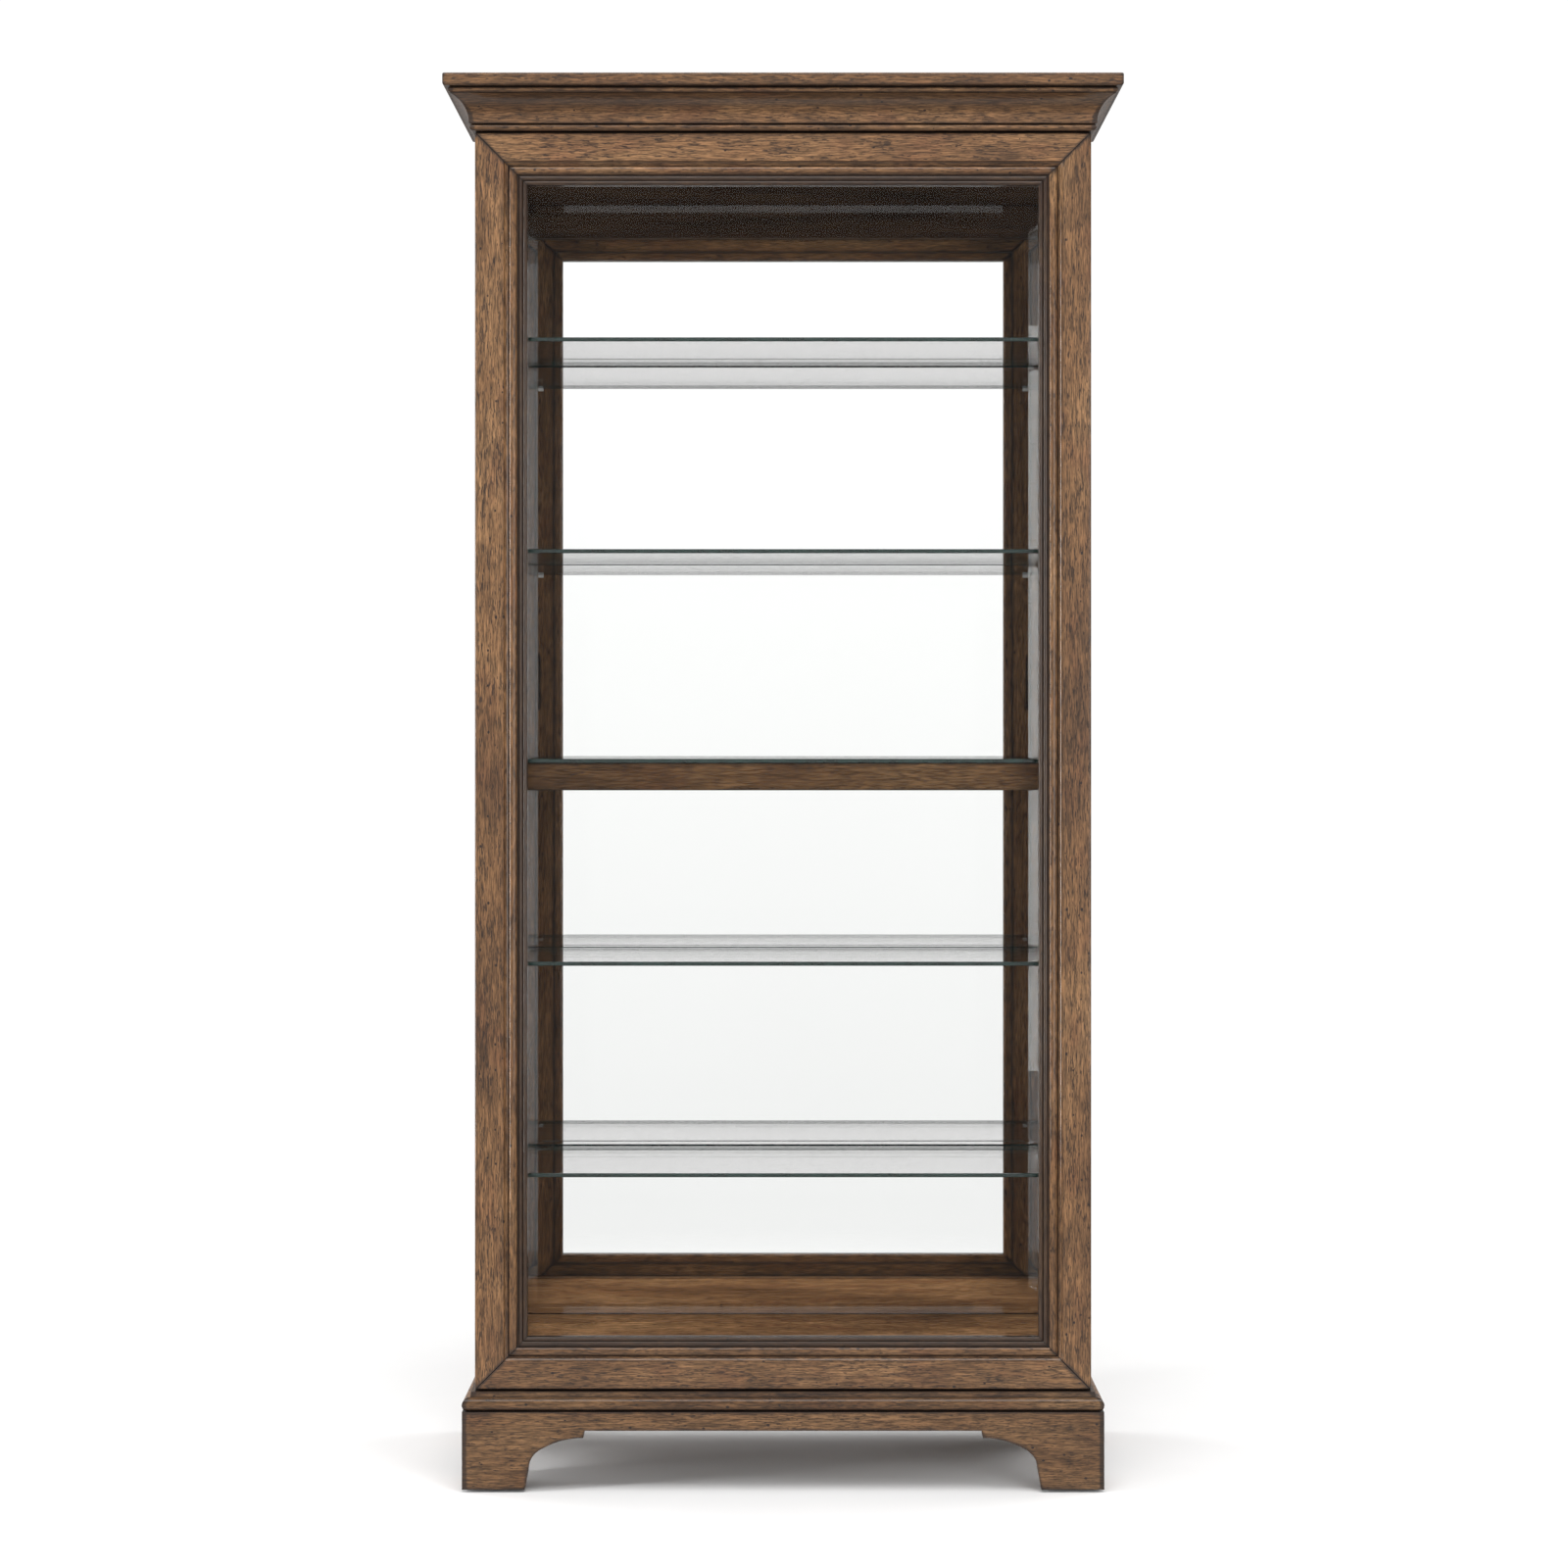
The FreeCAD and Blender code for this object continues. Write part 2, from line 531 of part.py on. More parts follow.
def case_screws():
    """Low-headed screws: back panel into the posts and decks, and the slides' case members into the case."""
    body = new_body("case_screws")
    heights = [f"case_low + 60 + {i} * (case_high - case_low - 120) / 6" for i in range(7)]
    spots = [(f"{side} * (post_inner + back_lap / 2)", z) for side in (1, -1) for z in heights]
    spots += [(f"{x} * post_inner", z) for x in (-0.66, -0.33, 0, 0.33, 0.66)
              for z in ("floor_high - deck_thick / 2 - 7", "ceiling_low + deck_thick / 2 + 7")]
    panel_back = "panel_front + back_thick"
    prism(body, "Y", f"{panel_back} - screw_long", panel_back, circles=[s + ("screw_shank",) for s in spots])
    prism(body, "Y", panel_back, f"{panel_back} + 1.6", circles=[s + ("screw_head",) for s in spots])
    spots = [(f"{x} * slide_half", z) for x in (-0.92, -0.46, 0, 0.46, 0.92)
             for z in ("upper_slide", "lower_slide")]
    web = "case_face - steel"
    prism(body, "Y", web, f"{web} + screw_long", circles=[s + ("screw_shank",) for s in spots])
    prism(body, "Y", f"{web} - screw_head_tall", web, circles=[s + ("screw_head",) for s in spots])


# ---- shelves -----------------------------------------------------------------------------------

def glass_shelf(label, level):
    """A loose plate with polished edges and a plate groove near its rear edge."""
    body = new_body(label)
    half = "shelf_wide / 2"
    plate = rectangle(f"-({half})", half, "shelf_face", "shelf_face + shelf_deep")
    prism(body, "Z", "0", "shelf_thick", [plate])
    plate = body.Tip
    chamfer = body.newObject("PartDesign::Chamfer", body.Name + "_edges")
    chamfer.Base = (plate, [f"Edge{i + 1}" for i in range(len(plate.Shape.Edges))])
    chamfer.setExpression("Size", formula("shelf_edge"))
    doc.recompute()
    cut_groove(body, "shelf_face + shelf_deep - groove_back", "shelf_thick", "shelf_wide / 2 - groove_short")
    body.setExpression("Placement.Base.z", formula(level))
    doc.recompute()


def shelf_pins():
    """A peg in the post and a flat tongue under the glass, sixteen times."""
    body = new_body("shelf_pins")
    for side in (1, -1):
        for y in ("front + pin_front", "front + pin_rear"):
            pegs = [(y, pin_z(level), "pin_peg") for level in LEVELS]
            prism(body, "X", "post_inner - pin_neck", "post_inner + pin_deep - 1", circles=pegs, side=side)
            tongues = [rectangle(f"{y} - pin_tongue_wide / 2", f"{y} + pin_tongue_wide / 2",
                                 f"{level} - pin_tongue_tall", level) for level in LEVELS]
            prism(body, "X", "post_inner - pin_tongue_long", "post_inner - 0.2", tongues, side=side)


def centre_shelf():
    """The fixed middle shelf: a wooden front rail and side cleats with a glass plate on them."""
    glass_shelf("centre_shelf_glass", "level_three")
    rail = new_body("centre_shelf_rail")
    y = "shelf_face + centre_rail_back"
    prism(rail, "X", "-post_inner", "post_inner",
          [rectangle(y, f"{y} + centre_rail_thick", "level_three - centre_rail_tall", "level_three")])
    ease(rail, lambda p, d: d.x > 0.9 and near(p.y, y))
    cleats = new_body("centre_shelf_cleats")
    for side in (1, -1):
        box = rectangle("post_inner - cleat_wide", "post_inner", "level_three - cleat_tall", "level_three")
        prism(cleats, "Y", f"{y} + centre_rail_thick", "mirror_front - 4", [box], side=side)


# ---- crown -------------------------------------------------------------------------------------

def crown_profile(face, out, inner):
    def at(offset, z, *radius):
        return (f"{face} {out} ({offset})", z) + radius
    bulge, hollow = ("-", "") if out == "-" else ("", "-")
    foot = "crown_low + crown_foot_tall"
    bead = "case_high - crown_bead_tall"
    return [
        (inner, "crown_low"),
        at("crown_foot_out", "crown_low"),
        at("crown_foot_out", foot, f"{bulge}(crown_foot_tall * bead_fullness)"),
        at("cove_foot_out", "crown_low + cove_foot_up"),
        at("cove_top_out", f"{bead} - 0.7", f"{hollow}cove_round"),
        at("crown_bead_root", bead),
        at("crown_bead_root", "case_high", f"{bulge}(crown_bead_tall * bead_fullness)"),
        (inner, "case_high"),
    ]


def crown():
    """Bead, cove and bead, mitred at the two front corners and square at the back."""
    front_piece = new_body("crown_front")
    profile = crown_profile("door_face", "-", "case_face")
    prism(front_piece, "X", "-case_half - mitre_stock", "case_half + mitre_stock", [profile])
    span = ("crown_low - 1", "case_high + 1")
    waste = [("case_half", "case_face + 1"), ("case_half", "door_face"),
             ("case_half + mitre_waste", "door_face - mitre_waste"),
             ("case_half + mitre_waste", "case_face + 1")]
    prism(front_piece, "Z", *span, [waste, [(f"-({x})", y) for x, y in waste]], cut=True)
    for label, side in (("crown_right", 1), ("crown_left", -1)):
        body = new_body(label)
        profile = crown_profile("case_half", "+", "case_half")
        prism(body, "Y", "door_face - mitre_stock", "back", [profile], side=side)
        waste = [("case_half - 1", "door_face + 1"), ("case_half - 1", "door_face - mitre_waste"),
                 ("case_half + mitre_waste", "door_face - mitre_waste")]
        prism(body, "Z", *span, [waste], cut=True, side=side)
    top = new_body("top_panel")
    board = rectangle("-total_wide / 2", "total_wide / 2", "front", "back")
    prism(top, "Z", "case_high", "total_tall", [board])
    ease(top, lambda p, d: d.z < 0.1 and not near(p.y, "back"), "ease * 2")


# ---- sliding door ------------------------------------------------------------------------------

def member_profile(edge, inward):
    """Section of a door frame member, as (across, depth): an eased outer edge, a gently pillowed face,
    a small cove, and a bead along the inner side."""
    def at(across, depth, *radius):
        return (f"{edge} {inward} ({across})", f"door_face + {depth}") + radius
    bulge, hollow = ("-", "") if inward == "-" else ("", "-")
    return [
        at("0", "door_thick"),
        at("0", "member_edge + member_sag"),
        at("member_edge", "member_sag", f"{bulge}(member_edge * 1.02)"),
        at("member_face", "0.2", f"{bulge}member_pillow"),
        at("member_cove", "cove_deep", f"{hollow}member_cove_round"),
        at("member_cove", "bead_foot"),
        at("member_wide", "bead_foot", f"{bulge}bead_peak_round"),
        at("member_wide", "door_thick"),
    ]


def cut_stile_mitres(body, side, lined=True):
    """Takes the waste outside the two 45 degree lines off an upright's ends. lined also takes a thin strip
    along each line, down to mitre_line_deep, which leaves the open joint seen at the door's corners."""
    past = "case_half + 1"
    inner = "case_half - mitre_reach"
    for end, way in (("door_low", "+"), ("door_high", "-")):
        waste = [("case_half", end), (inner, f"{end} {way} mitre_reach"), (inner, end)]
        prism(body, "Y", "door_face - 1", "door_back + 1", [waste], cut=True, side=side)
        if lined:
            strip = [(past, f"{end} {way} (mitre_line - 1)"),
                     (inner, f"{end} {way} (mitre_reach + mitre_line)"),
                     (inner, f"{end} {way} (-1)"), (past, f"{end} {way} (-1)")]
            prism(body, "Y", "door_face - 1", "door_face + mitre_line_deep", [strip], cut=True, side=side)


def cut_rail_mitres(body, end, way, lined=True):
    """The same for the two ends of a length."""
    past = "case_half + 1"
    far = f"{end} {way} mitre_reach"
    for side in (1, -1):
        waste = [("case_half", end), (past, end), (past, far), ("case_half - mitre_reach", far)]
        prism(body, "Y", "door_face - 1", "door_back + 1", [waste], cut=True, side=side)
        if lined:
            strip = [("case_half - mitre_line + 1", f"{end} {way} (-1)"), (past, f"{end} {way} (-1)"),
                     (past, far), ("case_half - mitre_reach - mitre_line", far)]
            prism(body, "Y", "door_face - 1", "door_face + mitre_line_deep", [strip], cut=True, side=side)


def door_stile(label, side):
    body = new_body(label)
    prism(body, "Z", "door_low", "door_high", [member_profile("case_half", "-")], side=side)
    cut_stile_mitres(body, side)
    x = "case_half - slot_out"
    half = "slot_wide / 2"
    slot = [(f"{x} - {half}", f"slot_low + {half}"),
            (f"{x} + {half}", f"slot_low + {half}", "slot_wide * 0.501"),
            (f"{x} + {half}", f"slot_high - {half}"),
            (f"{x} - {half}", f"slot_high - {half}", "slot_wide * 0.501")]
    prism(body, "Y", "door_back - slot_deep", "door_back", [slot], cut=True, side=side)


def door_rail(label, end, way):
    body = new_body(label)
    # A section along X is drawn as (Y, Z), so the profile's two coordinates change places.
    outline = turned(member_profile(end, way))
    prism(body, "X", "-case_half", "case_half", [outline])
    cut_rail_mitres(body, end, way)


def turned(outline):
    """The outline with its coordinates exchanged, which also exchanges left and right turns."""
    return [(p[1], p[0]) + tuple(f"-({r})" for r in p[2:]) for p in outline]


def bead_profile(edge, inward):
    """The small double moulding that holds the glass from the front, inside the frame's own bead."""
    def at(across, depth, *radius):
        return (f"{edge} {inward} ({across})", f"door_face + {depth}") + radius
    bulge = "-" if inward == "-" else ""
    start = "member_wide"
    return [
        at(start, "door_pane_front"),
        at(start, "stop_foot"),
        at(f"{start} + stop_quirk", "stop_foot"),
        at(f"{start} + stop_step", "stop_foot", f"{bulge}stop_round"),
        at(f"{start} + stop_wide", "stop_inner_foot", f"{bulge}stop_inner_round"),
        at(f"{start} + stop_wide", "door_pane_front"),
    ]


def glass_stop_profile(edge, inward):
    """The stop behind the glass, with its exposed corner rounded."""
    def at(across, depth, *radius):
        return (f"{edge} {inward} ({across})", f"door_face + {depth}") + radius
    bulge = "" if inward == "-" else "-"
    start, pane_back = "member_wide", "door_pane_front + pane_thick"
    tail = "door_thick - stop_back"
    return [
        at(start, pane_back),
        at(start, tail),
        at(f"{start} + stop_wide - stop_back_round", tail),
        at(f"{start} + stop_wide", f"{tail} - stop_back_round", f"{bulge}(stop_back_round * 1.005)"),
        at(f"{start} + stop_wide", pane_back),
    ]


def framed_moulding(label, profile, lined):
    """Four mitred lengths of one moulding around the glass, as separate solids in one sub-part."""
    lengths = []
    for side in (1, -1):
        upright = doc.addObject("PartDesign::Body", f"{label}_upright")
        prism(upright, "Z", "door_low", "door_high", [profile("case_half", "-")], side=side)
        cut_stile_mitres(upright, side, lined)
        lengths.append(upright)
    for end, way in (("door_low", "+"), ("door_high", "-")):
        length = doc.addObject("PartDesign::Body", f"{label}_length")
        prism(length, "X", "-case_half", "case_half", [turned(profile(end, way))])
        cut_rail_mitres(length, end, way, lined)
        lengths.append(length)
    group(label, lengths)


def group(label, members):
    """One sub-part of several separate solids."""
    compound = doc.addObject("Part::Compound", "Group_" + label)
    compound.Label = label
    compound.Links = members
    pieces.append(compound)


def door_glass():
    body = new_body("door_glass")
    half = "sight - pane_gap"
    outline = rectangle(f"-({half})", half, "door_low + member_wide + pane_gap",
                        "door_high - member_wide - pane_gap")
    prism(body, "Y", "door_face + door_pane_front", "door_face + door_pane_front + pane_thick", [outline])


def door_screws():
    """Low-headed screws through the slides' door members into the door's back."""
    body = new_body("door_screws")
    spots = [(f"{x} * slide_half", z) for x in (-0.92, -0.46, 0, 0.46, 0.92)
             for z in ("upper_slide", "lower_slide")]
    plate = "door_back + steel"
    prism(body, "Y", f"{plate} - screw_long", plate, circles=[s + ("screw_shank",) for s in spots])
    prism(body, "Y", plate, f"{plate} + screw_head_tall", circles=[s + ("screw_head",) for s in spots])


# ---- slides ------------------------------------------------------------------------------------

def channel(back, lip, half_tall):
    """A steel channel's section, open towards the door: web starts at back, flanges end at lip."""
    inner = f"{half_tall} - steel"
    upper = [(back, half_tall), (lip, half_tall), (lip, inner), (f"{back} + steel", inner)]
    lower = [(out, f"-({up})") for out, up in reversed(upper)]
    return [(f"case_face - ({out})", up) for out, up in upper + lower]


def door_member_section():
    """A plate on the door's back with two tongues that run inside the runner."""
    tongue, inner = "tongue_half_tall", "tongue_half_tall - steel"
    plate = "slide_gap - steel"
    upper = [("slide_gap", "door_plate_half"), (plate, "door_plate_half"), (plate, tongue),
             ("tongue_back", tongue), ("tongue_back", inner), (plate, inner)]
    lower = [(out, f"-({up})") for out, up in reversed(upper)]
    return [(f"case_face - ({out})", up) for out, up in upper + lower]


def slide(name, height):
    """One three-member slide. Its door member travels both ways, and the runner follows at half speed."""
    sections = (("case", channel("0", "slide_lip", "slide_half_tall"), "slide_half"),
                ("runner", channel("runner_back", "runner_lip", "runner_half_tall"), "runner_half"),
                ("door", door_member_section(), "slide_half"))
    for member, section, half in sections:
        body = new_body(f"slide_{name}_{member}")
        prism(body, "X", f"-{half}", half, [section])
        body.setExpression("Placement.Base.z", formula(height))
    tracks = (("outer_ball_up", "outer_ball_out"), ("inner_ball_up", "inner_ball_out"))
    rows = [(up, out, sign) for up, out in tracks
            for sign in (1, -1)]
    balls = []
    for step in range(-3, 4):
        for up, out, sign in rows:
            ball = doc.addObject("Part::Sphere", f"Ball_{name}")
            ball.setExpression("Radius", formula("ball / 2"))
            ball.setExpression("Placement.Base.x", formula(f"{step} * ball_step"))
            ball.setExpression("Placement.Base.y", formula(f"case_face - {out}"))
            ball.setExpression("Placement.Base.z", formula(f"{height} + {sign} * {up}"))
            balls.append(ball)
    group(f"slide_{name}_balls", balls)


# ---- the whole cabinet -------------------------------------------------------------------------

SIDES = (("left", -1), ("right", 1))

base_front()
base_back()
base_corner_blocks()
leveler_sockets()
base_cap_front()
for word, side in SIDES:
    base_side(f"base_{word}", side)
    base_cap_side(f"base_cap_{word}", side)
    leveler(f"leveler_front_{word}", side, "leveler_front")
    leveler(f"leveler_rear_{word}", side, "leveler_rear")
    post(f"post_front_{word}", side, rear=False)
    post(f"post_rear_{word}", side, rear=True)
    side_rail(f"side_rail_bottom_{word}", side, "case_low", "side_low", "side_low",
              ("floor_high - deck_thick", "floor_high"))
    side_rail(f"side_rail_top_{word}", side, "side_top_low", "case_high", "side_top_low",
              ("ceiling_low", "ceiling_low + deck_thick"))
    side_glass(f"side_glass_{word}", side)
    door_stile(f"door_stile_{word}", side)
side_glass_stops()
front_rail("front_rail_bottom", "case_low", "floor_high")
front_rail("front_rail_top", "ceiling_low", "case_high")
deck("bottom_deck", "floor_high - deck_thick", "floor_high", ("mirror_low", "floor_high + 1"), True)
deck("top_deck", "ceiling_low", "ceiling_low + deck_thick",
     ("ceiling_low - 1", "mirror_high + mirror_gap"), False)
mirror()
back_panel()
case_screws()
for place, level in zip((1, 2, 4, 5), LEVELS):
    glass_shelf(f"glass_shelf_{place}", level)
shelf_pins()
centre_shelf()
crown()
door_rail("door_rail_bottom", "door_low", "+")
door_rail("door_rail_top", "door_high", "-")
framed_moulding("door_front_beads", bead_profile, lined=True)
framed_moulding("door_glass_stops", glass_stop_profile, lined=False)
door_glass()
door_screws()
slide("upper", "upper_slide")
slide("lower", "lower_slide")
doc.recompute()

for item in doc.Objects:
    if "Invalid" in item.State or "Error" in item.State:
        raise RuntimeError(f"{item.Label}: {item.State}")
for piece in pieces:
    if piece.Shape.isNull() or not piece.Shape.isValid():
        raise RuntimeError(f"{piece.Label} has no valid shape")
os.makedirs("parts", exist_ok=True)
for piece in pieces:
    piece.Shape.exportStep(f"parts/{piece.Label}.step")
print(f"{len(pieces)} sub-parts, {sum(len(p.Shape.Solids) for p in pieces)} solids")
whole = Part.makeCompound([p.Shape for p in pieces]).BoundBox
low = (whole.XMin, whole.YMin, whole.ZMin)
high = (whole.XMax, whole.YMax, whole.ZMax)
print("box " + " ".join(f"{a:.2f} {b:.2f}" for a, b in zip(low, high)))
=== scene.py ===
import math

import bmesh
import bpy
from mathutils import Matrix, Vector

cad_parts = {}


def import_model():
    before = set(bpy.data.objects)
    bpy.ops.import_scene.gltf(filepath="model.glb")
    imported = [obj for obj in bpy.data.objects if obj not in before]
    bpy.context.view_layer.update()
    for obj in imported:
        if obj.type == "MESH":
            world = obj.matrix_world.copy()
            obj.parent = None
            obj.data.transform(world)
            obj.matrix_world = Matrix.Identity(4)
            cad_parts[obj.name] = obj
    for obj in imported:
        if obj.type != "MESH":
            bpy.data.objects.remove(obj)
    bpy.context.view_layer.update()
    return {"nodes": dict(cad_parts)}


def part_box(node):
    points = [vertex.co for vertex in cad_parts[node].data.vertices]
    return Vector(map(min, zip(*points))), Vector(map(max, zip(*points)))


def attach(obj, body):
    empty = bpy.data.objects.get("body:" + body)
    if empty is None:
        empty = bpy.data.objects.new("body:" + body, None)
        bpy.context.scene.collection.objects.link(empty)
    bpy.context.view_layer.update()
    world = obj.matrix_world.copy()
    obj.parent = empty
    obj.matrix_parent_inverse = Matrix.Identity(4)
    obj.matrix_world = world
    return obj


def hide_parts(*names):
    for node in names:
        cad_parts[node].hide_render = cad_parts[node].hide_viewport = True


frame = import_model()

NODES = frame["nodes"]


# ---------------------------------------------------------------- node trees

class Graph:
    """A material and short calls that build its node tree."""

    def __init__(self, name):
        self.material = bpy.data.materials.new(name)
        self.material.use_nodes = True
        self.tree = self.material.node_tree
        self.tree.nodes.clear()
        self.output = self.tree.nodes.new("ShaderNodeOutputMaterial")

    def add(self, kind, inputs=None, **settings):
        node = self.tree.nodes.new("ShaderNode" + kind)
        for key, value in settings.items():
            setattr(node, key, value)
        for key, value in (inputs or {}).items():
            if isinstance(value, bpy.types.NodeSocket):
                self.tree.links.new(value, node.inputs[key])
            else:
                node.inputs[key].default_value = value
        return node

    def math(self, operation, *values):
        return self.add("Math", dict(enumerate(values)), operation=operation).outputs[0]

    def ranged(self, value, low, high, to_low=0.0, to_high=1.0):
        """value between low and high, eased to between to_low and to_high."""
        inputs = {0: value, 1: low, 2: high, 3: to_low, 4: to_high}
        return self.add("MapRange", inputs, interpolation_type="SMOOTHSTEP").outputs[0]

    def noise(self, point, scale, detail, roughness=0.5):
        inputs = {"Vector": point, "Scale": scale, "Detail": detail, "Roughness": roughness}
        return self.add("TexNoise", inputs).outputs[0]

    def mix(self, factor, first, second, blend="MIX"):
        return self.add("MixRGB", {0: factor, 1: first, 2: second}, blend_type=blend).outputs[0]

    def most(self, *values):
        """The largest of the values."""
        largest = values[0]
        for value in values[1:]:
            largest = self.math("MAXIMUM", largest, value)
        return largest

    def mix_shaders(self, factor, first, second):
        return self.add("MixShader", {0: factor, 1: first, 2: second}).outputs[0]

    def ramp(self, value, stops):
        node = self.add("ValToRGB", {0: value})
        elements = node.color_ramp.elements
        while len(elements) < len(stops):
            elements.new(0.5)
        for element, (position, colour) in zip(elements, stops):
            element.position = position
            element.color = colour
        return node.outputs[0]

    def surface(self, shader):
        self.tree.links.new(shader, self.output.inputs["Surface"])
        return self.material


class Grained(Graph):
    """A material whose patterns are drawn out along one axis."""

    def __init__(self, name, grain, shift=(0, 0, 0)):
        super().__init__(name)
        self.grain = grain
        self.shift = shift
        self.point = self.add("TexCoord").outputs["Object"]

    def along(self, stretch):
        """The point on the surface, for a pattern that is to be drawn out."""
        scale = [1 / stretch if axis == self.grain else 1.0 for axis in "XYZ"]
        inputs = {"Vector": self.point, "Location": self.shift, "Scale": scale}
        return self.add("Mapping", inputs).outputs[0]

    def drawn(self, scale, stretch, detail, roughness=0.5):
        """Noise drawn out along the grain."""
        return self.noise(self.along(stretch), scale, detail, roughness)


def rgb(red, green, blue):
    return (red, green, blue, 1.0)


# ---------------------------------------------------------------- wood

# the dark colour of the glaze, and of the painted shade in each crevice and on faces that point down
GLAZE_AND_SHADE = rgb(0.014, 0.010, 0.009)
STAIN = {
    "dark": rgb(0.092, 0.045, 0.020),
    "middle": rgb(0.160, 0.080, 0.034),
    "light": rgb(0.225, 0.122, 0.055),
    "red": rgb(0.130, 0.056, 0.025),
}
# how much of the stain the glaze, and the painted shade in each crevice and on faces that point down, hides
# in each place
GLAZE_AND_SHADE_STRENGTH = {"pores": 0.72, "specks": 0.94, "rims": 0.82, "crevice_glaze_and_shade": 0.97, "painted_underside_shade": 0.62}
# how far the glaze reaches in from an edge, and the glaze and painted shade out of a crevice, in metres
RIM_REACH = 0.006
CREVICE_REACH = 0.012
OCCLUSION_SAMPLES = 8


def turned_at_mitres(g, node):
    """Position in a mitred frame, turned in its uprights so that their grain runs up them."""
    low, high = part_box(node)
    where = g.add("TexCoord").outputs
    share = g.add("SeparateXYZ", {0: where["Generated"]}).outputs
    axis = "XYZ".index(g.grain)

    def from_edge(i):
        off_middle = g.math("ABSOLUTE", g.math("SUBTRACT", share[i], 0.5))
        return g.math("MULTIPLY", g.math("SUBTRACT", 0.5, off_middle), high[i] - low[i])

    upright = g.math("LESS_THAN", from_edge(axis), from_edge(2))
    place = list(g.add("SeparateXYZ", {0: where["Object"]}).outputs)
    place[axis], place[2] = place[2], place[axis]
    turned = g.add("CombineXYZ", dict(enumerate(place))).outputs[0]
    return g.mix(upright, where["Object"], turned)


def stain(g, fibre, painted_light_level):
    """The stain's colour: clouds and reddish patches, in the lines of the grain, scaled by the piece's
    painted light level.
    """
    broad = g.drawn(13, 4, 4, 0.6)
    colour = g.ramp(broad, [(0.30, STAIN["dark"]), (0.50, STAIN["middle"]), (0.72, STAIN["light"])])
    red = g.drawn(23, 2, 2)
    colour = g.mix(g.ranged(red, 0.5, 0.72, 0, 0.6), colour, STAIN["red"])
    figure = g.drawn(230, 11, 3, 0.6)
    # the tone carries the painted light level: each piece is made lighter or darker for how the light falls
    # on it
    tone = g.math(
        "MULTIPLY",
        g.ranged(figure, 0.34, 0.66, 0.76 * painted_light_level, 1.20 * painted_light_level),
        g.ranged(fibre, 0.30, 0.70, 0.42, 1.58),
    )
    grey = g.add("CombineColor", {0: tone, 1: tone, 2: tone}).outputs[0]
    return g.mix(1.0, colour, grey, "MULTIPLY")


def open_pores(g):
    """Short dashes along the grain, close together in patches."""
    patches = g.drawn(70, 3, 2)
    threshold = g.ranged(patches, 0.35, 0.65, 0.64, 0.54)
    return g.ranged(g.math("SUBTRACT", g.drawn(620, 7, 1.5, 0.55), threshold), 0.0, 0.06)


def worm_specks(g):
    """Round dents of several sizes, far apart."""
    cells = g.add("TexVoronoi", {"Vector": g.along(1.4), "Scale": 92})
    chance = g.add("SeparateColor", {0: cells.outputs["Color"]}).outputs[0]
    size = g.ranged(chance, 0.55, 1.0, 0.0, 0.19)
    return g.ranged(g.math("SUBTRACT", size, cells.outputs["Distance"]), 0.0, 0.05)


def rims_and_crevice_shade(g):
    """Two masks: the rims of a piece, and the places where it is close to another or to itself, which take
    glaze and painted shade.
    """
    near_edge = g.add(
        "AmbientOcclusion", {"Distance": RIM_REACH}, inside=True, only_local=True, samples=OCCLUSION_SAMPLES
    )
    # partly glaze left in hollows, partly painted shade: darker where another piece, or this one, comes
    # close
    near_piece = g.add("AmbientOcclusion", {"Distance": CREVICE_REACH}, samples=OCCLUSION_SAMPLES)
    uneven_reach = g.ranged(g.drawn(90, 3, 3), 0.3, 0.7, -0.10, 0.10)
    rims = g.ranged(g.math("ADD", near_edge.outputs["AO"], uneven_reach), 0.95, 0.50)
    crevice_glaze_and_shade = g.ranged(g.math("ADD", near_piece.outputs["AO"], uneven_reach), 0.92, 0.42)
    return rims, crevice_glaze_and_shade


def stained_wood(name, grain, shift, painted_light_level, specular, coat):
    """Open-pored wood under a brown stain, with dark glaze in its pores, specks and rims, glaze and painted
    shade in its crevices, painted shade on faces that point down, and a painted light level that sets how
    light the whole piece is.
    """
    g = Grained("wood_" + name, grain, shift)
    if name in MITRED_FRAMES:
        g.point = turned_at_mitres(g, name)
    fibre = g.drawn(760, 14, 2, 0.7)
    pores = open_pores(g)
    specks = worm_specks(g)
    rims, crevice_glaze_and_shade = rims_and_crevice_shade(g)
    # painted shade: faces that point down are darkened towards the dark colour, the more the further down
    # they point
    facing = g.add("SeparateXYZ", {0: g.add("NewGeometry").outputs["Normal"]}).outputs[2]
    glaze_and_shade = g.most(
        g.math("MULTIPLY", pores, GLAZE_AND_SHADE_STRENGTH["pores"]),
        g.math("MULTIPLY", specks, GLAZE_AND_SHADE_STRENGTH["specks"]),
        g.math("MULTIPLY", rims, GLAZE_AND_SHADE_STRENGTH["rims"]),
        g.math("MULTIPLY", crevice_glaze_and_shade, GLAZE_AND_SHADE_STRENGTH["crevice_glaze_and_shade"]),
        g.ranged(facing, -0.12, -0.75, 0.0, GLAZE_AND_SHADE_STRENGTH["painted_underside_shade"]),
    )
    height = g.math("SUBTRACT", g.math("MULTIPLY", fibre, 0.35), g.math("ADD", pores, specks))
    bump = g.add("Bump", {"Height": height, "Strength": 0.5, "Distance": 0.0004})
    shader = g.add("BsdfPrincipled", {
        "Base Color": g.mix(glaze_and_shade, stain(g, fibre, painted_light_level), GLAZE_AND_SHADE),
        "Roughness": g.ranged(g.math("ADD", fibre, pores), 0.2, 1.4, 0.40, 0.70),
        "Specular IOR Level": specular,
        "Coat Weight": coat,
        "Coat Roughness": 0.13,
        "Normal": bump.outputs[0],
    })
    return g.surface(shader.outputs[0])


